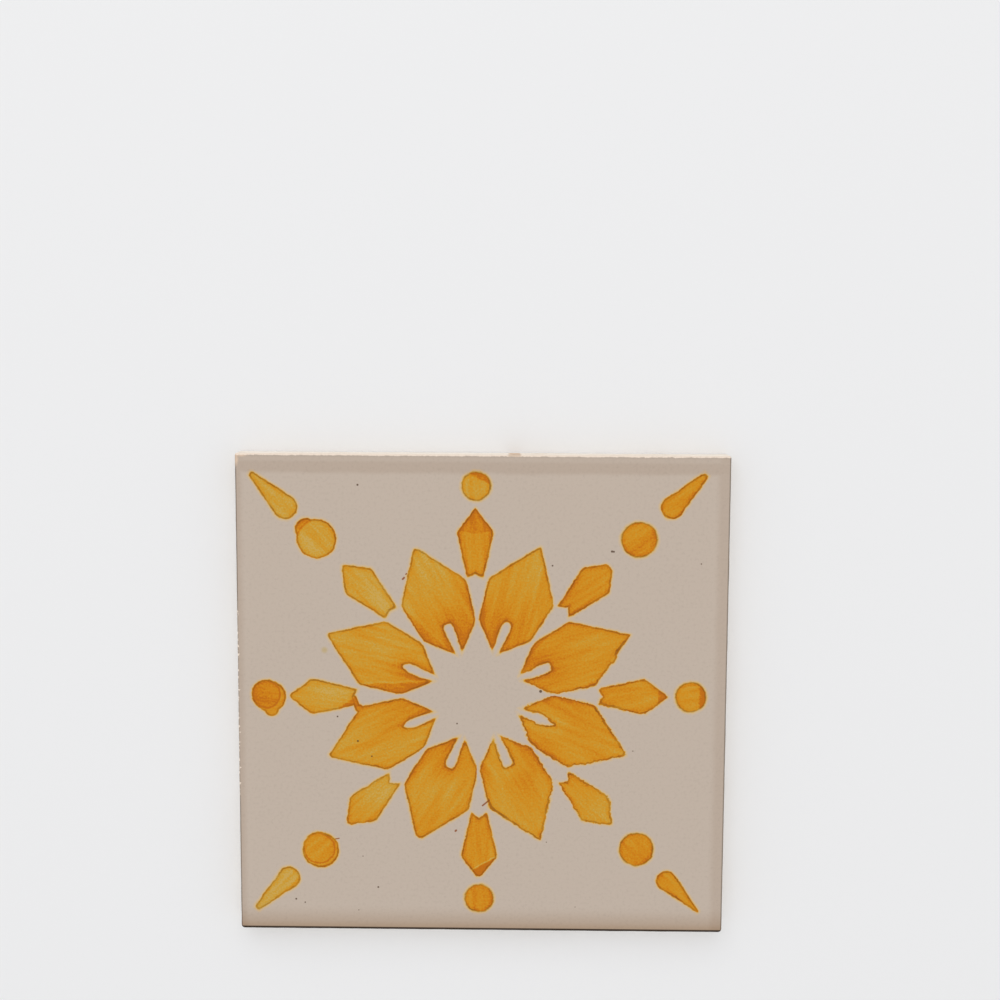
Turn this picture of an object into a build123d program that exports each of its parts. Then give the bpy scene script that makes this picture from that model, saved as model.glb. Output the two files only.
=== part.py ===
from build123d import *
import os

# Azulejo: a square wall tile of pressed earthenware, glazed on its face. It lies on its back,
# glazed face up, with the origin at the middle of the back and +Y towards the top of the pattern.
# Lengths are in millimetres and angles in degrees.

# Outline of the face and the overall thickness
FACE_SIDE = 140.0
THICKNESS = 8.0
CORNER_RADIUS = 1.2

# Edge of the face: a round arris, a narrow flat rim, then the cushion that rolls up to the flat
ARRIS_RADIUS = 0.7
RIM_WIDTH = 0.8
CUSHION_WIDTH = 4.0
CUSHION_HEIGHT = 0.45

# Sides: an upright land below the arris, then an undercut, so that two faces can meet closely
LAND_HEIGHT = 3.0
UNDERCUT_ANGLE = 4.0
BACK_EDGE_RADIUS = 0.6

# Keyed back: rows of shallow square recesses between ribs, which hold the bedding mortar
KEY_ROWS = 6
KEY_BORDER = 7.0
KEY_RIB = 3.5
KEY_DEPTH = 0.9
KEY_DRAFT_ANGLE = 20.0
KEY_CORNER_RADIUS = 2.0

rim_top = THICKNESS - CUSHION_HEIGHT
land_bottom = rim_top - LAND_HEIGHT
cushion_foot = FACE_SIDE / 2 - ARRIS_RADIUS - RIM_WIDTH
key_pitch = (FACE_SIDE - 2 * KEY_BORDER + KEY_RIB) / KEY_ROWS
key_side = key_pitch - KEY_RIB


def make_body():
    """The body up to its rim: upright sides below a round arris, then an undercut to the back."""
    outline = Pos(0, 0, land_bottom) * RectangleRounded(FACE_SIDE, FACE_SIDE, CORNER_RADIUS)
    land = extrude(outline, LAND_HEIGHT)
    undercut = extrude(outline, -land_bottom, taper=UNDERCUT_ANGLE)
    body = land + undercut
    body = fillet(body.faces().sort_by(Axis.Z)[-1].edges(), ARRIS_RADIUS)
    return fillet(body.faces().sort_by(Axis.Z)[0].edges(), BACK_EDGE_RADIUS)


def make_cushion():
    """The cushion: two bars crossed, each flat on top with sides that roll off to the rim on arcs.

    They reach down into the body, to the bottom of its land, so that the two join as one solid.
    """
    foot = (cushion_foot, rim_top)
    shoulder = (cushion_foot - CUSHION_WIDTH, THICKNESS)
    top = Line((0, THICKNESS), shoulder)
    roll = TangentArc(shoulder, foot, tangent=(1, 0))
    root = Polyline(foot, (cushion_foot, land_bottom), (0, land_bottom))
    half_section = top + roll + root
    section = make_face(half_section + mirror(half_section, about=Plane.YZ))
    bar = extrude(Plane.XZ * section, cushion_foot, both=True)
    return bar & Rot(0, 0, 90) * bar


def make_key():
    """The stamp that presses one recess of the back, drafted so that it draws out of the clay."""
    outline = RectangleRounded(key_side, key_side, KEY_CORNER_RADIUS)
    return extrude(outline, KEY_DEPTH, taper=KEY_DRAFT_ANGLE)


def make_tile():
    """The whole tile, fired as one piece."""
    key = make_key()
    key_places = GridLocations(key_pitch, key_pitch, KEY_ROWS, KEY_ROWS)
    return make_body() + make_cushion() - [place * key for place in key_places]


os.makedirs("parts", exist_ok=True)
tile = make_tile()
export_step(tile, "parts/tile.step")
print("tile volume", round(tile.volume), "mm3, size", tile.bounding_box().size)
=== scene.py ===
# %% [markdown]
# # A stencilled azulejo
# An azulejo is a square of pressed earthenware, glazed on one face and decorated through a paper
# stencil before the last firing. The CAD solid already has the blank's exact size, its cushion edge
# and its keyed back. Blender adds what a kiln and a hand leave: glaze that swells, thins and runs,
# paint that pools along the stencil, and bare clay on the sides and the back.
# The frame comes first, because every size below is taken from it.

# %% Load the frame
import math

import bmesh
import bpy
from mathutils import Matrix, Vector, noise


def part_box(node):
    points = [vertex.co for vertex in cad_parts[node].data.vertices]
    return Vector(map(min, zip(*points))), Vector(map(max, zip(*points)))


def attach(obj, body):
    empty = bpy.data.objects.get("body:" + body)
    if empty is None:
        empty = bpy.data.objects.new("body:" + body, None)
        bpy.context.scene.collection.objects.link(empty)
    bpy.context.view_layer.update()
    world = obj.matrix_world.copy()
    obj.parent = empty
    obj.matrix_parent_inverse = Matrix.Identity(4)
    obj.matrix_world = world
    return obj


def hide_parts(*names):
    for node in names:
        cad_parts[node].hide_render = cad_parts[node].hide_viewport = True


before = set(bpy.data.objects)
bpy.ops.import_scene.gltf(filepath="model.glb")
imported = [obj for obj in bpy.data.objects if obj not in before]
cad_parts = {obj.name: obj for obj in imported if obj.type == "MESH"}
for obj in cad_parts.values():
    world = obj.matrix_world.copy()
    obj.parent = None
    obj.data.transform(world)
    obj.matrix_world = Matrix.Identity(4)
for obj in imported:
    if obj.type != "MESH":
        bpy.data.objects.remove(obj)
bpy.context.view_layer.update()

MM = 0.001
tile_low, tile_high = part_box("tile")
HALF_SIDE = (tile_high.x - tile_low.x) / 2 / MM
THICKNESS = tile_high.z / MM
print(f"blank: {2 * HALF_SIDE:.1f} mm square, {THICKNESS:.1f} mm thick")

# %% [markdown]
# ## The glazed blank
# The blank could stay a CAD solid with a bump map, but its glaze is a real skin: it swells by a few
# hundredths of a millimetre, hangs over the arris in beads and stops on the sides in an uneven line.
# So the tile is modelled again as one closed mesh. It starts as a grid for the flat of the face, with
# its rows drawn together towards the edges, where the detail is. The mesh is modelled in
# millimetres and scaled to metres at the end.

# %% Lay out the flat of the face
ROLL_WIDTH = 5.5
GRID_ROWS = 180
EDGE_CROWDING = 0.6
SWELL_HEIGHT = 0.03
GLAZE_SWELL = ((21.0, 0.02), (6.0, 0.006))

flat_half = HALF_SIDE - ROLL_WIDTH
glaze_top = THICKNESS - SWELL_HEIGHT


def crowded(share):
    """Moves a grid row, from -1 to 1 across the face, so that rows crowd towards the edges."""
    return (1 - EDGE_CROWDING) * share + EDGE_CROWDING * math.sin(share * math.pi / 2)


def swell(x, y):
    """Height of the glaze's slow waves at a place on the face."""
    return sum(high * noise.noise(Vector((x / wide, y / wide, wide))) for wide, high in GLAZE_SWELL)


bm = bmesh.new()
square_place = bm.verts.layers.float_vector.new("square_place")
bmesh.ops.create_grid(bm, x_segments=GRID_ROWS, y_segments=GRID_ROWS, size=1.0)
for vert in bm.verts:
    share = Vector((crowded(vert.co.x), crowded(vert.co.y), 0))
    vert[square_place] = share
    x, y = share.x * flat_half, share.y * flat_half
    vert.co = (x, y, glaze_top + swell(x, y))
print(f"flat of the face: {len(bm.faces)} quads")

# %% [markdown]
# ## Roll-off, arris and sides
# From the flat, the glaze rolls down to a narrow rim, turns over a round arris and ends a
# millimetre or two down the sides. Below that line the clay is bare. This is one section carried
# round a square, so the open edge of the grid is extruded ring by ring, and each ring is set out from the
# section: how far it lies in from the side, how high it is and how round its corners are. A vertex
# layer remembers each vertex's place on a plain square, and extruding copies it to the new ring.

# %% Set out the section of the edge
RIM_DROP = 0.16
ROLL_STEEPNESS = 1.12
ARRIS_RADIUS = 0.6
TOP_CORNER_RADIUS = 0.5
LOW_CORNER_RADIUS = 1.0
GLAZE_END = 6.5
GLAZE_DEPTH = 0.12
SKIRT_STEP = 0.3
LIP_ABOVE = 0.15
LIP_BELOW = 0.1
LIP_TUCK = 0.4
LAND_BOTTOM = 4.55
UNDERCUT = math.tan(math.radians(4.0))
BACK_EDGE_RADIUS = 0.6
SIDE_HEIGHTS = (5.8, 5.2, LAND_BOTTOM, 3.6, 2.4, 1.4, BACK_EDGE_RADIUS)
EDGE_PLAY = 0.08
ROLL_RINGS = 11
ARRIS_RINGS = 6
BACK_RINGS = 4
GLAZE, CLAY = 0, 1

rim_top = glaze_top - RIM_DROP
arris_foot = rim_top - ARRIS_RADIUS


def section():
    """Rings from the flat to the back: inset from the side, height and finish of the band above."""
    for step in range(1, ROLL_RINGS + 1):
        share = step / ROLL_RINGS
        fall = RIM_DROP * (1 - math.cos(math.pi * min(1.0, ROLL_STEEPNESS * share))) / 2
        yield ROLL_WIDTH - share * (ROLL_WIDTH - ARRIS_RADIUS), glaze_top - fall, GLAZE
    for step in range(1, ARRIS_RINGS + 1):
        turn = math.pi / 2 * step / ARRIS_RINGS
        yield ARRIS_RADIUS * (1 - math.sin(turn)), rim_top - ARRIS_RADIUS * (1 - math.cos(turn)), GLAZE
    for height in (arris_foot - SKIRT_STEP, GLAZE_END + LIP_ABOVE):
        yield 0.0, height, GLAZE
    yield LIP_TUCK * GLAZE_DEPTH, GLAZE_END, GLAZE
    yield GLAZE_DEPTH, GLAZE_END - LIP_BELOW, CLAY
    for height in SIDE_HEIGHTS:
        yield GLAZE_DEPTH + max(LAND_BOTTOM - height, 0) * UNDERCUT, height, CLAY
    foot = GLAZE_DEPTH + (LAND_BOTTOM - BACK_EDGE_RADIUS) * UNDERCUT
    for step in range(1, BACK_RINGS + 1):
        turn = math.pi / 2 * step / BACK_RINGS
        inset = foot + BACK_EDGE_RADIUS * (1 - math.cos(turn))
        yield inset, BACK_EDGE_RADIUS * (1 - math.sin(turn)), CLAY


rings = list(section())
print(f"section of the edge: {len(rings)} rings")

# %% [markdown]
# The hand shows most at the edges. Glaze gathers in beads and leaves thin places, so a ring in the
# glaze moves in and out a little, and the line where it stops wanders. Two runs of glaze on the left
# side stand out further than the rest. All of this is smooth noise read at the ring's own place, so
# it is the same on every run.

# %% Give the glaze its beads and runs
BEADS = ((7.0, 0.03), (2.3, 0.03), (0.9, 0.02))
END_LINE = ((11.0, 0.35), (3.0, 0.3))
RUNS = ((-9.0, 2.3), (-24.5, 2.9))
RUN_DEPTH = 0.06
CLAY_GRAIN = ((5.0, 0.05), (1.3, 0.03))
BEAD_SEED = 3.0
END_SEED = 8.0
CLAY_SEED = 5.0


def wander(place, scales, seed):
    """Smooth noise at a place in millimetres, added up over (width, height) pairs."""
    return sum(high * noise.noise(place / wide + Vector((seed, seed, wide))) for wide, high in scales)


def glaze_run(x, y):
    """How far a run of glaze stands out at a place on the left side."""
    if x > -flat_half:
        return 0.0
    return sum(RUN_DEPTH * math.exp(-(((y - middle) / wide) ** 4)) for middle, wide in RUNS)


def round_corner(x, y, half, radius):
    """Draws a point of a square's outline onto the same outline with round corners."""
    middle = half - radius
    reach = Vector((max(abs(x) - middle, 0), max(abs(y) - middle, 0)))
    if reach.x > 0 and reach.y > 0:
        reach = reach.normalized() * radius
        x, y = math.copysign(middle + reach.x, x), math.copysign(middle + reach.y, y)
    return x, y


def ring_point(share, inset, height, finish):
    """Place of a ring's vertex, from its place on the plain square."""
    half = HALF_SIDE - EDGE_PLAY - inset
    at_edge = 1 - min(1.0, inset / ROLL_WIDTH)
    radius = TOP_CORNER_RADIUS if share.y > 0 else LOW_CORNER_RADIUS
    x, y = round_corner(share.x * half, share.y * half, half, radius * at_edge**2)
    on_x, on_y = abs(share.x) == 1, abs(share.y) == 1
    outward = Vector((x * on_x, y * on_y, 0)) if on_x or on_y else Vector((x, y, 0))
    place = Vector((x, y, height))
    if finish == GLAZE:
        push = wander(place, BEADS, BEAD_SEED) + glaze_run(x, y)
    else:
        push = wander(place, CLAY_GRAIN, CLAY_SEED)
    if height > arris_foot:
        place.z += swell(x, y)
    elif height > LAND_BOTTOM:
        place.z += wander(Vector((x, y, 0)), END_LINE, END_SEED) * min(1, arris_foot - height)
    return place + outward.normalized() * push * at_edge**3


# %% Extrude the edge ring by ring
open_edges = [edge for edge in bm.edges if edge.is_boundary]
for inset, height, finish in rings:
    grown = bmesh.ops.extrude_edge_only(bm, edges=open_edges)["geom"]
    for vert in (item for item in grown if isinstance(item, bmesh.types.BMVert)):
        vert.co = ring_point(vert[square_place], inset, height, finish)
    for face in (item for item in grown if isinstance(item, bmesh.types.BMFace)):
        face.material_index = finish
    open_edges = [item for item in grown if isinstance(item, bmesh.types.BMEdge) and item.is_boundary]
print(f"face and sides: {len(bm.faces)} faces")

# %% [markdown]
# ## The keyed back
# The press leaves rows of shallow recesses in the back, which hold the mortar. Cutting them with a
# boolean would leave a ragged mesh. Here a coarse grid has one quad for each recess: insetting every
# quad makes the ribs, insetting again with depth makes the drafted walls, and two bevels round the
# recesses' corners and soften their edges. A bridge closes the gap to the sides.

# %% Press the keys into the back
KEY_ROWS = 6
KEY_BORDER = 7.0
KEY_RIB = 3.5
KEY_DEPTH = 0.9
KEY_DRAFT = math.tan(math.radians(20.0))
KEY_CORNER = 2.0
KEY_SOFTNESS = 0.25
SHARP_ANGLE = 0.8

keyed_half = HALF_SIDE - KEY_BORDER + KEY_RIB / 2
facing_down = Matrix.Rotation(math.pi, 4, "X")
back = bmesh.ops.create_grid(
    bm, x_segments=KEY_ROWS, y_segments=KEY_ROWS, size=keyed_half, matrix=facing_down)
keys = list({face for vert in back["verts"] for face in vert.link_faces})
bmesh.ops.inset_individual(bm, faces=keys, thickness=KEY_RIB / 2, use_even_offset=True)
walls = bmesh.ops.inset_individual(
    bm, faces=keys, thickness=KEY_DEPTH * KEY_DRAFT, depth=-KEY_DEPTH, use_even_offset=True)["faces"]
corners = [edge for edge in {e for f in walls for e in f.edges}
           if abs(edge.verts[0].co.z - edge.verts[1].co.z) > KEY_DEPTH / 2]
bmesh.ops.bevel(
    bm, geom=corners, offset=KEY_CORNER, segments=5, profile=0.5, affect="EDGES", material=-1)
soft_edges = [edge for edge in bm.edges
              if len(edge.link_faces) == 2 and edge.calc_face_angle() > SHARP_ANGLE
              and max(abs(vert.co.x) for vert in edge.verts) < keyed_half
              and max(abs(vert.co.y) for vert in edge.verts) < keyed_half
              and max(vert.co.z for vert in edge.verts) < 2 * KEY_DEPTH]
bmesh.ops.bevel(
    bm, geom=soft_edges, offset=KEY_SOFTNESS, segments=2, profile=0.5, affect="EDGES", material=-1)
bmesh.ops.bridge_loops(bm, edges=[edge for edge in bm.edges if edge.is_boundary])
for face in bm.faces:
    if face.calc_center_median().z < 2 * KEY_DEPTH:
        face.material_index = CLAY
bmesh.ops.recalc_face_normals(bm, faces=bm.faces)
loose = [edge for edge in bm.edges if not edge.is_manifold]
print(f"closed tile: {len(bm.faces)} faces, {len(loose)} open edges")

# %% [markdown]
# ## A map for the painted face
# The materials below read the tile's own Object coordinates, so they need no map. But when the tile
# is exported its colours are baked into an image, and a plain unwrapping would give the back as many
# pixels as the face. This map is given its own layout: the face takes most of it, the four sides lie in a
# column beside it, and the back is drawn small above.

# %% Lay out the bake map
FACE_SHARE = 0.79
BACK_SHARE = 0.19
SIDE_COLUMN = 0.81
SIDE_PITCH = 0.047
BACK_START = 0.805
MAP_MARGIN = 0.005
bake_map = bm.loops.layers.uv.new("OFBake")


def bake_place(normal, co):
    """Place of a point on the map, from the way its face looks."""
    across, up = co.x / HALF_SIDE / 2 + 0.5, co.y / HALF_SIDE / 2 + 0.5
    if normal.z > 0.5:
        return MAP_MARGIN + FACE_SHARE * across, MAP_MARGIN + FACE_SHARE * up
    if normal.z < -0.5:
        return MAP_MARGIN + BACK_SHARE * across, BACK_START + BACK_SHARE * up
    along = up if abs(normal.x) > abs(normal.y) else across
    side = (normal.x > 0) if abs(normal.x) > abs(normal.y) else 2 + (normal.y > 0)
    height = co.z / HALF_SIDE / 2
    return SIDE_COLUMN + SIDE_PITCH * side + FACE_SHARE * height, MAP_MARGIN + FACE_SHARE * along


for face in bm.faces:
    for loop in face.loops:
        loop[bake_map].uv = bake_place(face.normal, loop.vert.co)
print(f"bake map: {FACE_SHARE:.0%} of its width for the face, {BACK_SHARE:.0%} for the back")

# %% [markdown]
# ## From bmesh to object
# A bmesh is a working model that no camera sees. Written to a mesh, and with that mesh in an object,
# it becomes the tile in the scene. Its place is kept in the mesh, so the object stays at the origin,
# and the frame is told which body carries it; the CAD piece it stands for is hidden.

# %% Make the tile an object
for face in bm.faces:
    face.smooth = True
bmesh.ops.scale(bm, vec=(MM, MM, MM), verts=bm.verts)
tile_mesh = bpy.data.meshes.new("glazed_tile")
bm.to_mesh(tile_mesh)
bm.free()
glazed_tile = bpy.data.objects.new("glazed_tile", tile_mesh)
bpy.context.scene.collection.objects.link(glazed_tile)
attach(glazed_tile, "root")
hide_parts("tile")
print(f"glazed_tile: {sum(len(face.vertices) - 2 for face in tile_mesh.polygons)} triangles")

# %% [markdown]
# ## Formulas as nodes
# A stencil is geometry: straight cuts, arcs and a few round holes, turned eight times about one
# centre. That suits a formula better than a picture, and a formula stays sharp at any distance. A
# shader can only add and compare through Math nodes, so this small class lets a formula be written
# as one: each sum or product makes its node and links it.


# %% Write formulas with Math nodes
class Flow:
    """A number flowing through a material's node tree."""

    tree = None

    def __init__(self, socket):
        self.socket = socket

    def __add__(self, other):
        return math_node("ADD", self, other)

    def __sub__(self, other):
        return math_node("SUBTRACT", self, other)

    def __rsub__(self, other):
        return math_node("SUBTRACT", other, self)

    def __mul__(self, other):
        return math_node("MULTIPLY", self, other)

    def __truediv__(self, other):
        return math_node("DIVIDE", self, other)

    def __neg__(self):
        return math_node("MULTIPLY", self, -1.0)

    __radd__ = __add__
    __rmul__ = __mul__


def plug(value, socket):
    """Links a flow to a socket, or sets a plain value on it."""
    if isinstance(value, Flow):
        Flow.tree.links.new(value.socket, socket)
    else:
        socket.default_value = value


def math_node(operation, *values):
    node = Flow.tree.nodes.new("ShaderNodeMath")
    node.operation = operation
    for value, socket in zip(values, node.inputs):
        plug(value, socket)
    return Flow(node.outputs[0])


def larger(first, *others):
    for other in others:
        first = math_node("MAXIMUM", first, other)
    return first


def smaller(first, *others):
    for other in others:
        first = math_node("MINIMUM", first, other)
    return first


def size_of(value):
    return math_node("ABSOLUTE", value)


def distance(across, along):
    return math_node("SQRT", across * across + along * along)


def round_larger(reach, first, *others):
    """The largest value, with the corner between two shapes rounded over a reach in millimetres."""
    for other in others:
        first = math_node("SMOOTH_MAX", first, other, reach)
    return first


def fade(value, start, end):
    """Goes smoothly from 0, where the value is at start, to 1, where it is at end."""
    node = Flow.tree.nodes.new("ShaderNodeMapRange")
    node.interpolation_type = "SMOOTHSTEP"
    for number, socket in zip((value, start, end), node.inputs):
        plug(number, socket)
    return Flow(node.outputs[0])


def blend(low, high, share):
    return low + (high - low) * share


# %% [markdown]
# Noise gives a material its unevenness. A Noise Texture lies round a middle of 0.5, so it is moved to
# zero and stretched, and a formula can then add it or take it away.


# %% Add places and noise
def vector(x, y, z):
    node = Flow.tree.nodes.new("ShaderNodeCombineXYZ")
    for value, socket in zip((x, y, z), node.inputs):
        plug(value, socket)
    return Flow(node.outputs[0])


def split(flow):
    node = Flow.tree.nodes.new("ShaderNodeSeparateXYZ")
    plug(flow, node.inputs[0])
    return [Flow(socket) for socket in node.outputs]


NOISE_GAIN = 3.0


def noise_node(place, scale, detail, rough):
    node = Flow.tree.nodes.new("ShaderNodeTexNoise")
    plug(place, node.inputs["Vector"])
    node.inputs["Scale"].default_value = scale
    node.inputs["Detail"].default_value = detail
    node.inputs["Roughness"].default_value = rough
    return node


def clouds(place, scale, detail=1.0, rough=0.5):
    """Smooth noise, about -1 to 1."""
    return (Flow(noise_node(place, scale, detail, rough).outputs[0]) - 0.5) * NOISE_GAIN


def cloud_shift(place, scale, detail=1.0, rough=0.5):
    """Two smooth noises, about -1 to 1, that shift a place sideways and upwards."""
    channels = split(Flow(noise_node(place, scale, detail, rough).outputs[1]))
    return [(channel - 0.5) * NOISE_GAIN for channel in channels[:2]]


# %% [markdown]
# Eight petals need eight rows of numbers. A colour ramp with stepped stops is a small table: its red,
# green and blue carry up to three numbers, and the shape's own number picks the row. Colours are
# written in screen values, as they are picked, and turned into the light values of the nodes.


# %% Add tables and colours
def ladder(rows, index):
    """Looks up a row of up to three numbers by a whole number, on a stepped colour ramp."""
    node = Flow.tree.nodes.new("ShaderNodeValToRGB")
    ramp = node.color_ramp
    ramp.interpolation = "CONSTANT"
    lowest = min(min(row) for row in rows)
    while len(ramp.elements) < len(rows):
        ramp.elements.new(1.0)
    for number, row in enumerate(rows):
        ramp.elements[number].position = number / len(rows)
        ramp.elements[number].color = [value - lowest for value in row] + [0.0] * (3 - len(row)) + [1.0]
    plug((index + 0.5) / float(len(rows)), node.inputs[0])
    return [channel + lowest for channel in split(Flow(node.outputs[0]))[:len(rows[0])]]


def linear(red, green, blue):
    """A colour given in screen values from 0 to 255, as the light values that nodes use."""
    def level(value):
        share = value / 255
        return share / 12.92 if share <= 0.04045 else ((share + 0.055) / 1.055) ** 2.4
    return (level(red), level(green), level(blue), 1.0)


def colour_ramp(stops, value):
    """A smooth scale of colours, as (place, colour) stops."""
    node = Flow.tree.nodes.new("ShaderNodeValToRGB")
    ramp = node.color_ramp
    while len(ramp.elements) < len(stops):
        ramp.elements.new(1.0)
    for element, (place, colour) in zip(ramp.elements, stops):
        element.position = place
        element.color = linear(*colour)
    plug(value, node.inputs[0])
    return Flow(node.outputs[0])


def mix_colour(low, high, share, way="MIX"):
    node = Flow.tree.nodes.new("ShaderNodeMix")
    node.data_type = "RGBA"
    node.blend_type = way
    plug(share, node.inputs["Factor"])
    plug(low, node.inputs[6])
    plug(high, node.inputs[7])
    return Flow(node.outputs[2])


# %% [markdown]
# Each material reads the tile's Object coordinates, which are metres. A Mapping node turns them into
# millimetres, so that the formulas use the same sizes as the mesh.


# %% Start a material
def new_material(name, roughness):
    """A fresh material: its shader, with the tree ready for formulas, and places in millimetres."""
    material = bpy.data.materials.new(name)
    material.use_nodes = True
    Flow.tree = material.node_tree
    shader = Flow.tree.nodes["Principled BSDF"]
    shader.inputs["Roughness"].default_value = roughness
    coordinates = Flow.tree.nodes.new("ShaderNodeTexCoord")
    scale = Flow.tree.nodes.new("ShaderNodeMapping")
    scale.inputs["Scale"].default_value = (1 / MM, 1 / MM, 1 / MM)
    Flow.tree.links.new(coordinates.outputs["Object"], scale.inputs["Vector"])
    return material, shader, Flow(scale.outputs[0])


def bump(height, depth):
    """A bump from a height around zero, with its depth in millimetres."""
    node = Flow.tree.nodes.new("ShaderNodeBump")
    node.inputs["Strength"].default_value = 1.0
    node.inputs["Distance"].default_value = depth * MM
    plug(height, node.inputs["Height"])
    return Flow(node.outputs[0])


# %% [markdown]
# ## The stencil
# The flower has one centre, a little left of the middle of the tile, where the stencil was laid.
# Round it stand eight petals, and between them eight buds with dots and, on the diagonals, drops.
# Each shape is written once, as its distance from the cut edge: negative inside, positive outside.
# Folding the angle into one eighth of a turn repeats it. A straight cut is the distance from a line,
# the largest of several such distances is a shape with corners, and taking away a notch is the same
# step with the sign turned. The knife slipped by a few tenths of a millimetre from shape to shape,
# so small tables, counted anticlockwise from the right, shift each one along and across its ray.
# Noise makes the cut edges ragged, most of all at the lower right, where the hand was in a hurry.

# %% Start the painted glaze
painted_glaze, glaze_shader, glaze_place = new_material("painted_glaze", 0.28)
STENCIL_CENTRE = (-1.22, 0.41)
RAGGED = ((0.3, 0.18), (0.9, 0.15), (2.4, 0.06))
HURRY_MIDDLE = (27.0, -17.0)
HURRY_REACH = (34.0, 14.0)
EIGHTH = math.pi / 4

tile_x, tile_y, tile_z = split(glaze_place)
stencil_x, stencil_y = tile_x - STENCIL_CENTRE[0], tile_y - STENCIL_CENTRE[1]
flat_place = vector(tile_x, tile_y, 0.0)


def from_point(x, y):
    """Distance from a place on the face."""
    return distance(tile_x - x, tile_y - y)


hurry = 1.0 + fade(from_point(*HURRY_MIDDLE), *HURRY_REACH)
for scale, reach in RAGGED:
    slip_x, slip_y = cloud_shift(flat_place, scale)
    stencil_x, stencil_y = stencil_x + slip_x * hurry * reach, stencil_y + slip_y * hurry * reach

from_centre = distance(stencil_x, stencil_y)
turn = math_node("ARCTAN2", stencil_y, stencil_x)
eighths = turn / EIGHTH


def folded(number, middle):
    """Coordinates along and across the ray in the middle of an eighth of the flower."""
    off = turn - middle * EIGHTH
    along = from_centre * math_node("COSINE", off)
    across = from_centre * math_node("SINE", off)
    return along, across, math_node("FLOORED_MODULO", number, 8.0)


petal_ray = math_node("FLOOR", eighths)
petal_along, petal_across, petal_number = folded(petal_ray, petal_ray + 0.5)
bud_ray = math_node("ROUND", eighths)
ray_along, ray_across, bud_number = folded(bud_ray, bud_ray)


def past_cut(along, side, start, end):
    """Distance past the straight cut from start to end, with the shape on the cut's left."""
    run, rise = end[0] - start[0], end[1] - start[1]
    length = math.hypot(run, rise)
    return (along - start[0]) * (rise / length) - (side - start[1]) * (run / length)


# %% [markdown]
# A petal has a pointed tip, straight shoulders and a narrow base, and a notch like a spearhead opens
# it from the base. Half of the outline is enough, because both sides of the ray are alike. Paint
# rounds the corners a little, so the cuts are joined by a smooth maximum in place of a sharp one. A
# table says where each petal's tip was cut off and how far its notch reaches.

# %% Cut the petals
CUT_ROUNDING = 1.2
PETAL_TIP = (46.4, 0.0)
PETAL_SHOULDER = (32.3, 9.8)
PETAL_HIP = (20.4, 7.8)
PETAL_BASE = (14.1, 1.3)
NOTCH_POINT = (24.6, 0.0)
NOTCH_HEAD = (20.9, 1.75)
NOTCH_NECK = (14.1, 1.25)
PETAL_ENDS = (
    (47.0, 22.8, 0.35), (46.3, 23.2, 0.3), (45.7, 22.7, 0.4), (46.0, 23.3, 0.1),
    (46.1, 23.5, 0.0), (45.4, 23.2, 0.5), (46.6, 23.2, 0.7), (45.8, 24.4, 0.0))
PETAL_SLIPS = (
    (0.15, 0.1), (0.3, 0.2), (0.1, 0.2), (0.0, 0.2), (0.0, 0.55), (0.0, 0.6), (-0.2, 0.4), (-0.4, 0.5))

slip_along, slip_across = ladder(PETAL_SLIPS, petal_number)
petal_along, petal_across = petal_along - slip_along, petal_across - slip_across
petal_side = size_of(petal_across)
tip_cut, notch_cut, notch_blunt = ladder(PETAL_ENDS, petal_number)
petal = round_larger(
    CUT_ROUNDING,
    past_cut(petal_along, petal_side, PETAL_TIP, PETAL_SHOULDER),
    past_cut(petal_along, petal_side, PETAL_SHOULDER, PETAL_HIP),
    past_cut(petal_along, petal_side, PETAL_HIP, PETAL_BASE),
    petal_along - tip_cut)
notch = round_larger(
    CUT_ROUNDING,
    past_cut(petal_along, petal_side, NOTCH_POINT, NOTCH_HEAD) - notch_blunt,
    past_cut(petal_along, petal_side, NOTCH_HEAD, NOTCH_NECK),
    petal_along - notch_cut)
petal = round_larger(CUT_ROUNDING, petal, -notch)
print(f"petals: {len(PETAL_SLIPS)}, about {PETAL_TIP[0] - PETAL_BASE[0]:.0f} mm long")

# %% [markdown]
# A bud is a kite with a long foot, and a V is cut into the foot, deeper on some buds than on others.
# It is made of straight cuts again, and each bud's tip is cut off at a place of its own.

# %% Cut the buds
BUD_TIP = (54.0, 0.0)
BUD_SHOULDER = (47.5, 5.0)
BUD_FOOT = (34.8, 2.1)
FOOT_SLOPE = 0.8
BUD_TIPS = ((54.3,), (52.8,), (54.5,), (53.6,), (53.6,), (53.5,), (53.4,), (54.0,))
BUD_SLIPS = (
    (0.1, 0.0, 1.1), (0.15, 0.25, 1.9), (0.0, 0.8, 1.1), (-0.1, 0.6, 0.7),
    (0.0, 0.65, 1.0), (-0.2, 0.6, 2.0), (0.3, 0.55, 1.7), (0.05, 0.6, 1.9))

slip_along, slip_across, notch_depth = ladder(BUD_SLIPS, bud_number)
bud_along, bud_across = ray_along - slip_along, ray_across - slip_across
bud_side = size_of(bud_across)
(bud_tip,) = ladder(BUD_TIPS, bud_number)
foot_line = BUD_FOOT[0] + notch_depth * (1.0 - bud_side / BUD_FOOT[1])
bud = round_larger(
    CUT_ROUNDING,
    past_cut(bud_along, bud_side, BUD_TIP, BUD_SHOULDER),
    past_cut(bud_along, bud_side, BUD_SHOULDER, BUD_FOOT),
    (foot_line - bud_along) * FOOT_SLOPE,
    bud_along - bud_tip)
print(f"buds: {len(BUD_SLIPS)}, about {BUD_TIP[0] - BUD_FOOT[0]:.0f} mm long")

# %% [markdown]
# The dots are larger on the diagonals. Three of them were dabbed a second time: at the upper left a
# smaller disc shows beside the dot, and on the left and at the lower left a larger one shows round
# it. The drops stand on the diagonals only, so a large distance pushes the other four away. The brush
# was lifted late at the upper right and the lower left, so those drops have a blunt point.

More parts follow.
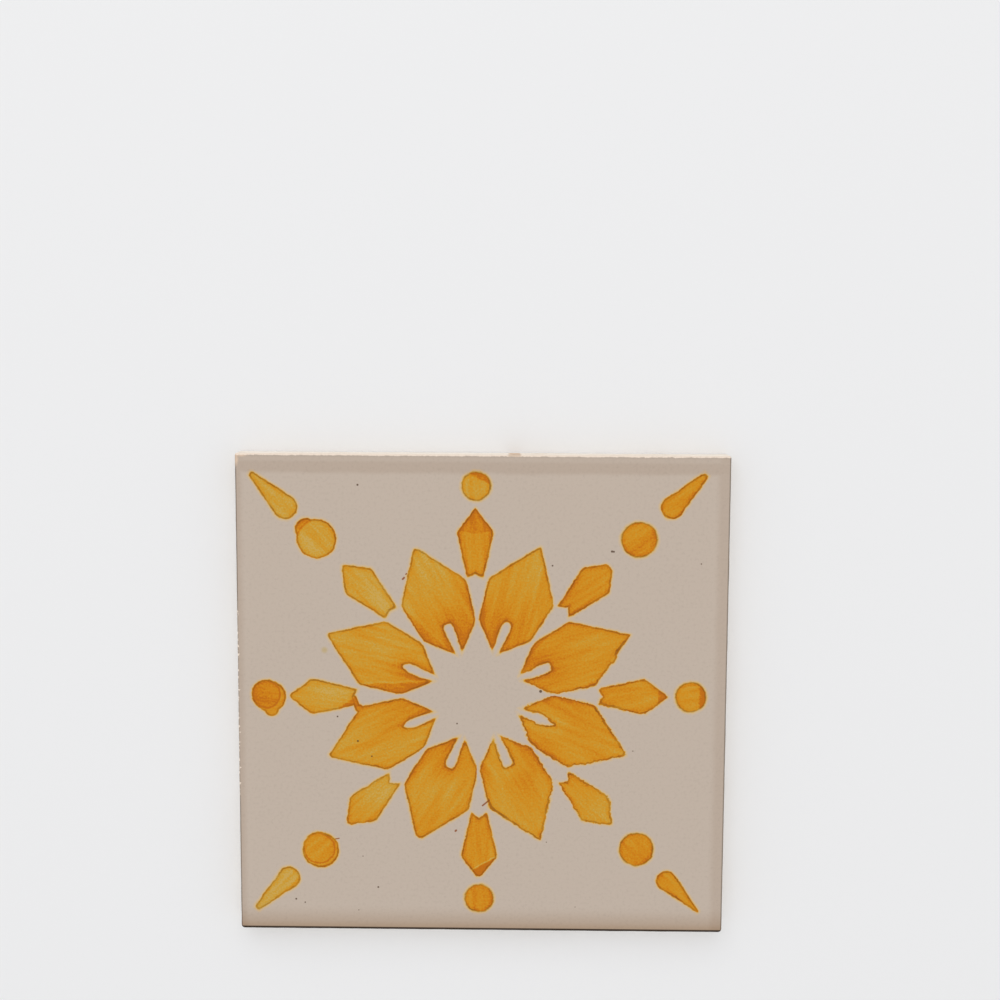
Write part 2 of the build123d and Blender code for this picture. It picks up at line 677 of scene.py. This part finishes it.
# %% Punch the dots and the drops
NOTHING = (0.0, 0.0, 0.0)
DOTS = (
    (60.9, 0.0, 4.25), (64.5, 0.0, 4.95), (60.7, 0.6, 4.0), (64.4, 0.4, 5.35),
    (60.5, 0.1, 4.05), (64.75, 0.05, 4.55), (60.5, 0.6, 4.05), (64.6, 0.5, 4.75))
DABS = (
    NOTHING, NOTHING, NOTHING, (4.1, 0.2, 2.8), (-1.0, 0.6, 4.3), (0.05, 0.65, 5.0), NOTHING, NOTHING)
DROP_MIDDLE = 77.3
DROP_RADIUS = 3.05
DROP_POINT = 93.0
DROP_TIP = 90.6
DROP_SLIPS = (
    NOTHING, (0.2, 0.1, 0.1), NOTHING, (-0.2, 0.25, -0.2),
    NOTHING, (0.0, 0.1, 0.1), NOTHING, (0.2, 0.15, 0.35))
LIFT_RUN = (79.0, 88.0)
LIFT_WIDTH = 0.22
EARLY_LIFT = -0.4
FAR_AWAY = 100.0

dot_middle, dot_shift, dot_radius = ladder(DOTS, bud_number)
dot_along, dot_across = ray_along - dot_middle, ray_across - dot_shift
dot = distance(dot_along, dot_across) - dot_radius
dab_along, dab_across, dab_radius = ladder(DABS, bud_number)
dab = distance(dot_along - dab_along, dot_across - dab_across) - dab_radius

slip_along, slip_across, drop_shrink = ladder(DROP_SLIPS, bud_number)
drop_along, drop_side = ray_along - slip_along, size_of(ray_across - slip_across)
drop_lean = math.asin(DROP_RADIUS / (DROP_POINT - DROP_MIDDLE))
drop_flank = (drop_along - DROP_POINT) * math.sin(drop_lean) + drop_side * math.cos(drop_lean)
# Of the diagonal rays, 1 and 5 give a lift of 1, and 3 and 7 the early lift.
lift = larger(2.0 - math_node("MODULO", bud_number, 4.0), EARLY_LIFT)
drop_flank = drop_flank - lift * fade(drop_along, *LIFT_RUN) * LIFT_WIDTH
drop_round = distance(smaller(drop_along - DROP_MIDDLE, 0.0), drop_side) - DROP_RADIUS
drop = larger(round_larger(CUT_ROUNDING, drop_flank, drop_along - DROP_TIP), drop_round)
drop = drop + drop_shrink + (1.0 - math_node("MODULO", bud_number, 2.0)) * FAR_AWAY
print(f"dots: {len(DOTS)}, drops: {len(DOTS) // 2}")

# %% [markdown]
# Slips of the brush are short strokes: a trail of paint from the left bud to the petal below it, a
# lobe on the edge of the first petal and another under the left dot. The nearest shape gives the
# distance from the stencil's edge, and the paint crept a little way under the paper.


# %% Add the slips of the brush
def along_stroke(start, end):
    """Distance from the middle of a short straight stroke."""
    run, rise = end[0] - start[0], end[1] - start[1]
    off_x, off_y = tile_x - start[0], tile_y - start[1]
    share = (off_x * run + off_y * rise) / (run * run + rise * rise)
    share = smaller(larger(share, 0.0), 1.0)
    return distance(off_x - share * run, off_y - share * rise)


STROKES = (
    ((-36.7, -0.6), (-35.7, -3.2), 0.55),
    ((-35.2, -3.6), (-34.4, -4.2), 0.9),
    ((37.6, 12.2), (37.0, 11.0), 0.65),
    ((-60.2, -2.8), (-60.3, -4.1), 1.75))
PAINT_CREEP = 0.24
outer_shapes = smaller(bud, dot, dab, drop)
for start, end, radius in STROKES:
    outer_shapes = smaller(outer_shapes, along_stroke(start, end) - radius)
stencil_edge = smaller(petal, outer_shapes) - PAINT_CREEP
print(f"slips: {len(STROKES)} strokes")

# %% [markdown]
# ## The paint
# The ochre is a thin wash, so its colour is a matter of depth: pale yellow where the brush was dry,
# orange where it went over twice. The material works out one number, the depth of the pigment, and a
# scale of colours turns it into paint. The small tables are the painter's habits: how loaded the
# brush was at each shape, and which flank of a petal it went over again. They count anticlockwise
# from the right.

# %% Load the brush for the petals
PETAL_LOADS = (
    (0.55, 0.10, 0.00), (0.41, 0.33, 0.26), (0.33, 0.25, 0.39), (0.38, 0.30, 0.02),
    (0.43, 0.06, 0.22), (0.45, 0.02, 0.00), (0.34, 0.48, 0.28), (0.45, 0.28, 0.22))
SECOND_LOADS = (
    (0.07, 0.16, 0.0), (0.03, 0.17, 0.0), (0.09, 0.18, 0.0), (0.14, 0.21, 0.0),
    (-0.06, 0.0, 0.05), (0.20, 0.0, 0.15), (-0.26, 0.0, 0.0), (-0.18, 0.0, 0.0))
SECOND_STARTS = (
    (1.7, 0.0), (1.2, 0.0), (0.6, 0.0), (0.3, 0.5), (0.0, 0.0), (0.0, 0.0), (0.0, 0.0), (0.0, 0.0))
FLANK_CHORD = (PETAL_SHOULDER, PETAL_BASE)
FLANK_BLEND = 3.5
LOAD_RUN = (44.0, 16.0)
NOTCH_REACH = (5.5, 0.5)
OVERLAP_SOFTNESS = 0.2
HAND_PITCH = 0.12
HAND_STEP = 3.7
HAND_REACH = 0.5


def dry_band(past_edge, start):
    """A band just short of the edge of a second coat, where the brush took paint away."""
    return fade(past_edge, start, -0.5) * fade(past_edge, -0.1, -0.4)


petal_load, left_gain, right_gain = ladder(PETAL_LOADS, petal_number)
notch_pool, left_again, right_again = ladder(SECOND_LOADS, petal_number)
left_start, dry_line = ladder(SECOND_STARTS, petal_number)
hand = clouds(vector(petal_along * HAND_PITCH, petal_number * HAND_STEP, 0.0), 1.0) * HAND_REACH
left_flank = past_cut(petal_along, petal_across, *FLANK_CHORD) - left_start + hand
right_flank = past_cut(petal_along, -petal_across, *FLANK_CHORD) + hand + 0.4
base_gain = blend(right_gain, left_gain, fade(petal_across, -FLANK_BLEND, FLANK_BLEND))
petal_load = petal_load + fade(petal_along, *LOAD_RUN) * base_gain
petal_load = petal_load + fade(notch, *NOTCH_REACH) * notch_pool
petal_load = petal_load + fade(left_flank, -OVERLAP_SOFTNESS, OVERLAP_SOFTNESS) * left_again
petal_load = petal_load - dry_band(left_flank, -0.9) * dry_line * 0.4
petal_load = petal_load + fade(right_flank, -0.6, 0.4) * right_again

# %% [markdown]
# Three buds have a darker tip, one of them cut off aslant with a dry line beside it, and the left bud
# was gone over once more along its foot. Three dots have a darker crescent on one side, where the
# wash ran before it dried. Where a dot was dabbed twice, its own edge shows as a dark ring.

# %% Load it for the buds, dots and drops
NO_TIP = (60.0, 0.0, 0.0)
BUD_LOADS = (
    (0.54, 0.50), (0.64, 0.58), (0.60, 0.59), (0.28, 0.34),
    (0.31, 0.42), (0.28, 0.50), (0.60, 0.54), (0.50, 0.40))
TIP_LOADS = (
    (52.4, 0.36, 0.0), NO_TIP, (47.9, 0.21, 0.0), NO_TIP, NO_TIP, NO_TIP, (50.7, 0.38, 0.56), NO_TIP)
DOT_LOADS = (
    (0.53, 0.0, 0.0), (0.62, 0.0, 0.57), (0.38, 0.0, 0.0), (0.31, 0.62, 0.31),
    (0.71, 0.52, 0.0), (0.57, 0.40, 0.24), (0.66, 0.0, 0.0), (0.58, 0.0, 0.54))
CRESCENTS = (
    (1.0, 0.0, 0.38), (0.7, -0.7, 0.06), (0.9, -0.45, 0.42), NOTHING, NOTHING, NOTHING, NOTHING, NOTHING)
CRESCENT_WIDTH = 1.7
CRESCENT_SOFTNESS = 0.3
LEFT_BUD = 4.0
FOOT_CHORD = ((41.2, 4.3), (35.4, 0.2))
SECOND_COAT = 0.36
LOAD_CHANGE = (40.0, 51.0)
DOTS_FROM = 55.0
DROPS_FROM = 72.6

foot_load, head_load = ladder(BUD_LOADS, bud_number)
tip_start, tip_load, tip_slant = ladder(TIP_LOADS, bud_number)
tip_bow = fade(bud_side, 5.0, 0.0) * (0.9 - tip_slant * 1.6)
past_tip = bud_along + bud_across * tip_slant - tip_start + tip_bow
bud_load = blend(foot_load, head_load, fade(bud_along, *LOAD_CHANGE))
bud_load = bud_load + fade(past_tip, -OVERLAP_SOFTNESS, OVERLAP_SOFTNESS) * tip_load
bud_load = bud_load - dry_band(past_tip, -0.8) * tip_slant * 0.6
left_bud = fade(size_of(bud_number - LEFT_BUD), 0.6, 0.4)
past_foot = past_cut(bud_along, bud_across, *FOOT_CHORD)
bud_load = bud_load + fade(past_foot, -0.3, 0.3) * left_bud * SECOND_COAT

dot_load, dab_load, drop_load = ladder(DOT_LOADS, bud_number)
dark_along, dark_across, crescent = ladder(CRESCENTS, bud_number)
dot_flow = dot_along * dark_along + dot_across * dark_across - dot_radius + clouds(flat_place, 0.5) * 0.4
dot_flow = dot_flow + CRESCENT_WIDTH
dot_load = dot_load + fade(dot_flow, -CRESCENT_SOFTNESS, CRESCENT_SOFTNESS) * crescent
dot_load = blend(dab_load, dot_load, fade(dot, 0.15, -0.15))
dot_load = dot_load + fade(size_of(dot + 0.1), 0.4, 0.1) * fade(dab, -0.1, -0.4) * SECOND_COAT
outer_load = blend(bud_load, dot_load, fade(ray_along, DOTS_FROM, DOTS_FROM + 0.1))
outer_load = blend(outer_load, drop_load, fade(ray_along, DROPS_FROM, DROPS_FROM + 0.1))

on_petal = fade(petal - outer_shapes, 0.05, -0.05)
brush_load = blend(outer_load, petal_load, on_petal)
brush_along = blend(bud_along, petal_along, on_petal)
brush_across = blend(bud_across, petal_across, on_petal)
shape_number = blend(bud_number + 8.0, petal_number, on_petal)

# %% [markdown]
# A brush leaves streaks along its way, and wet paint pools towards the stencil's edge, dries there as
# a broken brown line and leaves a pale fringe where it crept under the paper. The streaks are noise
# stretched along the stroke, and the rest are fades of the distance from the stencil's edge. In a few
# smudged places the line is wider.

# %% Drag the brush and let the paint pool
STREAK_LEAN = 0.3
STREAK_GAIN = 0.25
WASH_GAIN = 0.10
GRAIN_GAIN = 0.27
PINHOLE_LOSS = 0.3
POOL_WIDTH = 1.7
LINE_WIDTH = 0.45
LINE_SOFTNESS = 0.12
SMUDGE_WIDTH = 0.25
FRINGE_WIDTH = 0.95
FULL_LOAD = 0.9
LEAST_LOAD = 0.2
LEAST_LINE = 0.12
SMUDGES = ((4.6, -33.8, 5.0), (35.2, -6.4, 6.5), (39.8, 14.6, 3.6), (-9.5, -45.0, 4.5))

brush_lean = clouds(vector(shape_number * 7.3, 0.5, 0.5), 1.0, 0.0)
brush_line = brush_across + brush_along * brush_lean * STREAK_LEAN
streaks = clouds(vector(brush_along * 0.07, brush_line * 0.7, shape_number * 5.3), 1.0, 3.0, 0.6)
wash = clouds(vector(brush_along * 0.06, brush_line * 0.13, shape_number * 3.1), 1.0)
grains = clouds(flat_place, 1.9, 2.0, 0.6)
pinholes = fade(grains, 0.55, 0.95)
edge_mood = clouds(flat_place, 0.13)
edge_break = clouds(flat_place, 0.45, 2.0)
smudge = 0.0
for x, y, reach in SMUDGES:
    smudge = larger(fade(from_point(x, y), reach, reach * 0.6), smudge)

depth = brush_load + streaks * STREAK_GAIN + wash * WASH_GAIN + grains * GRAIN_GAIN - pinholes * PINHOLE_LOSS
pool = fade(stencil_edge, -POOL_WIDTH, 0.0) * larger(0.2 + edge_mood * 0.12, 0.0)
depth = larger(smaller(depth + pool, FULL_LOAD), LEAST_LOAD)
line_start = stencil_edge + smudge * SMUDGE_WIDTH + LINE_WIDTH
line = fade(line_start, -LINE_SOFTNESS, LINE_SOFTNESS) * fade(stencil_edge, 0.06, -0.16)
line_strength = 0.58 + edge_mood * 0.28 + edge_break * 0.4 + smudge * 0.15
line = line * smaller(larger(line_strength, LEAST_LINE), 1.0)
covered = fade(stencil_edge, 0.2, -0.1)
fringe = fade(stencil_edge, 0.3, 0.0) * 0.09 + fade(stencil_edge, FRINGE_WIDTH, 0.15) * 0.05
fringe = fringe * larger(1.0 + edge_break * 0.5, 0.0)
pigment = larger(depth * covered, fringe)

# %% [markdown]
# ## The glaze
# The ground is a warm beige-grey glaze, even over the flat. It is the pale end of the scale of
# colours, which runs through yellow and orange to a deep ochre. The brown line is mixed over that as
# a colour of its own, because it is as dark round a pale shape as round a deep one.

# %% Colour the face
PAINT_SCALE = (
    (0.00, (194, 179, 165)), (0.05, (207, 181, 143)), (0.12, (207, 172, 108)), (0.24, (202, 161, 66)),
    (0.40, (206, 151, 44)), (0.55, (209, 143, 28)), (0.70, (207, 132, 17)), (0.80, (204, 122, 13)),
    (0.88, (196, 112, 14)), (1.00, (170, 92, 12)))
LINE_BROWN = linear(116, 62, 16)
LINE_COVER = 0.74

face_colour = colour_ramp(PAINT_SCALE, pigment)
face_colour = mix_colour(face_colour, LINE_BROWN, line * LINE_COVER)
print(f"paint: {len(PAINT_SCALE)} colours from bare glaze to deep ochre")

# %% [markdown]
# Dirt in the kiln leaves dark specks, and the brush left a few hairs of paint and one faint dab outside
# the stencil. They are too small for geometry and too few for a noise, so each has its own place.

# %% Add specks and hairs
SPECKS = (
    (-35.3, 61.2, 0.26), (36.7, 42.6, 0.3), (37.2, 42.55, 0.26), (16.8, 1.8, 0.4), (-35.6, -13.3, 0.26),
    (-31.6, -17.8, 0.2), (-29.9, -57.0, 0.24), (-7.1, -7.9, 0.2), (62.0, 39.2, 0.16),
    (-53.8, -60.8, 0.24), (-51.2, -61.8, 0.18), (-41.4, -6.1, 0.22), (19.9, 38.4, 0.22),
    (43.4, -15.6, 0.14), (18.8, -43.0, 0.12), (-35.6, -64.0, 0.12), (27.3, -62.5, 0.1),
    (-34.3, -47.7, 0.12))
HAIRS = (
    ((0.3, -32.2), (2.2, -30.6), 0.2),
    ((-42.2, -42.6), (-41.2, -42.4), 0.14),
    ((-7.5, -39.9), (-7.3, -39.7), 0.26),
    ((-22.6, 34.2), (-22.2, 34.6), 0.24),
    ((-21.7, 35.6), (-21.5, 35.8), 0.16))
STRAY_MIDDLE = (-45.0, 13.4)
STRAY_REACH = (1.35, 0.3)
STRAY_YELLOW = linear(191, 170, 132)
SPECK_BROWN = linear(84, 60, 42)
HAIR_BROWN = linear(140, 72, 24)
MARK_COVER = 0.9


def small_mark(off, radius):
    """A small mark with a soft edge, from the distance off its middle."""
    return fade(off, radius + 0.15, radius - 0.1)


speck = 0.0
for x, y, radius in SPECKS:
    speck = larger(small_mark(from_point(x, y), radius), speck)
hair = 0.0
for start, end, radius in HAIRS:
    hair = larger(small_mark(along_stroke(start, end), radius), hair)
stray = fade(from_point(*STRAY_MIDDLE), *STRAY_REACH)
face_colour = mix_colour(face_colour, STRAY_YELLOW, stray)
face_colour = mix_colour(face_colour, SPECK_BROWN, speck * MARK_COVER)
face_colour = mix_colour(face_colour, HAIR_BROWN, hair * MARK_COVER)
print(f"specks: {len(SPECKS)}, hairs: {len(HAIRS)}")

# %% [markdown]
# Towards the edges the glaze thins and turns darker at the top, left and right; along the right that
# darker band is also painted shade, and along the bottom the face darkens with painted shade where
# the roll-off turns from the light. The bottom arris carries a dark line of painted contact shadow,
# and on the other arrises the glaze is worn to a brown line. Along the top it is broken down to the
# pale clay, with one tan patch, and along the middle of the left side it is chipped. Each is a fade of
# the distance from that edge, shaken by noise.

# %% Thin the glaze and paint shade towards the edges
THIN_TOP = (6.2, 4.6)
THIN_TOP_RIM = (2.7, 1.6)
THIN_AND_SHADE_RIGHT = (4.6, 2.2)
THIN_LEFT = (2.8, 0.6)
# The bottom values are painted shade that darkens the face towards its bottom edge.
SHADE_BOTTOM = (8.0, 0.4)
SHADE_BOTTOM_RIM = (3.0, 0.8)
THIN_AND_SHADE_TINT = linear(220, 208, 198)
SHADE_BOTTOM_TINT = linear(227, 213, 198)

edge_top, edge_bottom = HALF_SIDE - tile_y, tile_y + HALF_SIDE
edge_right, edge_left = HALF_SIDE - tile_x, tile_x + HALF_SIDE
edge_slip = clouds(flat_place, 0.12) * 0.3
# Thinner glaze darkens the top, left and right bands; along the right the band is also painted shade.
thin_and_shade = larger(
    fade(edge_top + edge_slip, *THIN_TOP) * (0.36 - fade(edge_top, *THIN_TOP_RIM) * 0.22),
    fade(edge_right + edge_slip, *THIN_AND_SHADE_RIGHT) * 0.3,
    fade(edge_left + edge_slip, *THIN_LEFT) * 0.36)
# Painted shade: the face darkens towards its bottom edge, where the roll-off turns from the light.
painted_shade_below = fade(edge_bottom, *SHADE_BOTTOM) * 0.72 + fade(edge_bottom, *SHADE_BOTTOM_RIM) * 0.28
face_colour = mix_colour(face_colour, THIN_AND_SHADE_TINT, thin_and_shade, "MULTIPLY")
face_colour = mix_colour(face_colour, SHADE_BOTTOM_TINT, painted_shade_below, "MULTIPLY")

# %% Paint the bottom arris's contact shadow, and wear, break and chip the glaze
# The bottom values paint a contact shadow on the bottom arris; the side and top values are wear.
SHADOW_BOTTOM = (0.98, 0.72)
WORN_SIDE = (0.6, 0.25)
WORN_TOP = (1.1, 0.6)
DARK_EDGE_HEIGHTS = (7.08, 7.42)
SHADOW_AND_WEAR_BROWN = linear(28, 18, 11)
SHADOW_AND_WEAR_COVER = 0.92
BROKEN_EDGE = (0.62, 0.34)
BROKEN_CLAY = linear(238, 222, 206)
CHIPPED_MIDDLE = -2.0
CHIPPED_REACH = (32.0, 24.0)
CHIPPED_EDGE = (0.12, 0.0)
CORNER_CLAY = linear(232, 204, 178)
PATCH_MIDDLE = 8.9
PATCH_TAN = linear(208, 184, 162)

flake = clouds(flat_place, 0.8, 3.0, 0.7)
chipped = fade(size_of(tile_y - CHIPPED_MIDDLE), *CHIPPED_REACH)
# Painted contact shadow along the bottom arris, and wear on the other edges.
worn_and_shadow = larger(
    fade(edge_bottom, *SHADOW_BOTTOM), fade(edge_right, *WORN_SIDE) * 0.6,
    fade(edge_left, *WORN_SIDE) * (0.6 - chipped * 0.4), fade(edge_top, *WORN_TOP) * 0.1)
worn_and_shadow = worn_and_shadow * (0.3 + fade(tile_z + flake * 0.1, *DARK_EDGE_HEIGHTS) * 0.7)
broken = fade(edge_top - flake * 0.28, *BROKEN_EDGE)
chips = fade(edge_left - flake * 1.3, *CHIPPED_EDGE) * chipped
corner = fade(smaller(edge_top, edge_left) + flake * 0.3, 1.3, 0.5)
corner = corner * fade(edge_top + edge_left, 5.0, 2.5) * 0.7
patch = fade(size_of(tile_x - PATCH_MIDDLE) + flake * 0.5, 2.2, 1.4)
face_colour = mix_colour(face_colour, SHADOW_AND_WEAR_BROWN, worn_and_shadow * SHADOW_AND_WEAR_COVER)
face_colour = mix_colour(face_colour, CORNER_CLAY, corner)
face_colour = mix_colour(face_colour, BROKEN_CLAY, larger(broken, chips))
face_colour = mix_colour(face_colour, PATCH_TAN, broken * patch * 0.8)

# %% [markdown]
# The fired surface is satin: soft broad reflections, a faint grain in the colour and a slight orange
# peel. The grain shades the colour, the peel is a bump of a few thousandths of a millimetre, and paint,
# worn places and the painted contact shadow on the bottom arris are rougher than clean glaze.

# %% Finish the glaze
BLACK = (0.0, 0.0, 0.0, 1.0)
GRAIN_SHADE = 0.12
MOTTLE_SHADE = 0.012
PEEL_DEPTH = 0.006
GLAZE_ROUGHNESS = 0.26

grain = clouds(flat_place, 1.1, 3.0, 0.7)
mottle = clouds(flat_place, 0.05, 2.0)
shade = 1.0 + grain * GRAIN_SHADE + mottle * MOTTLE_SHADE
face_colour = mix_colour(BLACK, face_colour, shade)
peel = clouds(flat_place, 0.8, 2.0)
roughness = GLAZE_ROUGHNESS + covered * 0.06 + grain * 0.04 + larger(worn_and_shadow, broken) * 0.4
plug(face_colour, glaze_shader.inputs["Base Color"])
plug(bump(peel, PEEL_DEPTH), glaze_shader.inputs["Normal"])
plug(roughness, glaze_shader.inputs["Roughness"])
glaze_shader.inputs["Specular IOR Level"].default_value = 0.1
tile_mesh.materials.append(painted_glaze)
print(f"painted glaze: {len(Flow.tree.nodes)} nodes")

# %% [markdown]
# ## Bare clay
# Below the glaze the earthenware is pale cream, a little warmer where it was handled, with the open
# grain of pressed clay. The same material covers the sides and the keyed back. The tan patch of the
# top rim goes on down the top side.

# %% Make the clay
CLAY_SCALE = ((0.0, (226, 204, 178)), (0.5, (246, 236, 223)), (1.0, (252, 246, 238)))
CLAY_TAN = linear(214, 186, 160)
CLAY_BUMP = 0.05

bare_clay, clay_shader, clay_place = new_material("bare_clay", 0.88)
smear = clouds(clay_place, 0.09, 3.0, 0.6)
clay_grain = clouds(clay_place, 2.4, 3.0, 0.7)
clay_tone = 0.5 + smear * 0.28 + clay_grain * 0.12
clay_colour = colour_ramp(CLAY_SCALE, clay_tone)
clay_x, clay_y, clay_z = split(clay_place)
bare_patch = fade(size_of(clay_x - PATCH_MIDDLE) + clay_grain * 0.5 + smear, 2.1, 1.2)
bare_patch = bare_patch * fade(clay_y, HALF_SIDE - 1.0, HALF_SIDE - 0.5)
bare_patch = bare_patch * fade(clay_z + clay_grain * 0.6 + smear, 0.2, 1.4)
clay_colour = mix_colour(clay_colour, CLAY_TAN, bare_patch)
plug(clay_colour, clay_shader.inputs["Base Color"])
plug(bump(clay_grain, CLAY_BUMP), clay_shader.inputs["Normal"])
tile_mesh.materials.append(bare_clay)
print(f"bare clay: {len(Flow.tree.nodes)} nodes")

# %% [markdown]
# ## Floor, light and camera
# The tile lies on its back on a plain pale floor, and the camera looks down on it from a little past
# its top edge. One large soft light stands beyond that edge, and a pale sky fills the rest.

# %% Lay the floor
FLOOR_HALF = 3.0
FLOOR_COLOUR = (0.855, 0.857, 0.865, 1.0)

floor_mesh = bpy.data.meshes.new("floor")
floor_bm = bmesh.new()
bmesh.ops.create_grid(floor_bm, x_segments=1, y_segments=1, size=FLOOR_HALF)
floor_bm.to_mesh(floor_mesh)
floor_bm.free()
floor = bpy.data.objects.new("floor", floor_mesh)
bpy.context.scene.collection.objects.link(floor)
floor_paint, floor_shader, _ = new_material("floor_paint", 0.9)
floor_shader.inputs["Base Color"].default_value = FLOOR_COLOUR
floor_mesh.materials.append(floor_paint)

# %% Light it softly
LIGHT_PLACE = Vector((-0.2, 1.2, 1.3))
LIGHT_SIZE = 1.4
LIGHT_POWER = 6.0
SKY_STRENGTH = 0.86

key_data = bpy.data.lights.new("key", "AREA")
key_data.size = LIGHT_SIZE
key_data.energy = LIGHT_POWER
key_light = bpy.data.objects.new("key", key_data)
key_light.location = LIGHT_PLACE
key_light.rotation_euler = (-LIGHT_PLACE).to_track_quat("-Z", "Y").to_euler()
bpy.context.scene.collection.objects.link(key_light)

sky = bpy.data.worlds.new("sky")
sky.use_nodes = True
background = sky.node_tree.nodes["Background"]
background.inputs["Color"].default_value = (1.0, 1.0, 1.0, 1.0)
background.inputs["Strength"].default_value = SKY_STRENGTH
bpy.context.scene.world = sky
bpy.context.scene.view_settings.view_transform = "Standard"
print(f"light: {LIGHT_SIZE} m wide, {LIGHT_POWER} W, sky {SKY_STRENGTH}")

# %% [markdown]
# The camera's place was worked out from the tile's four corners in the photograph. It aims near the
# tile's top edge, so the tile lies low and a little to the left in the picture. It could be turned with
# angles, but three directions are plainer: ahead, right and up, with a slight roll.

# %% Aim the camera
CAMERA_PLACE = Vector((13.69, 155.87, 619.95)) * MM
CAMERA_TARGET = Vector((4.92, 57.15, 8.0)) * MM
CAMERA_ROLL = math.radians(-0.274)
CAMERA_LENS = 79.13

ahead = (CAMERA_TARGET - CAMERA_PLACE).normalized()
right = ahead.cross(Vector((0, 1, 0))).normalized()
right = Matrix.Rotation(CAMERA_ROLL, 3, ahead) @ right
up = right.cross(ahead)
camera_data = bpy.data.cameras.new("camera")
camera_data.lens = CAMERA_LENS
camera_data.sensor_width = 36.0
camera = bpy.data.objects.new("camera", camera_data)
turned = Matrix((right, up, -ahead)).transposed().to_4x4()
camera.matrix_world = Matrix.Translation(CAMERA_PLACE) @ turned
bpy.context.scene.collection.objects.link(camera)
bpy.context.scene.camera = camera
print(f"camera: {(CAMERA_TARGET - CAMERA_PLACE).length:.3f} m from its target")
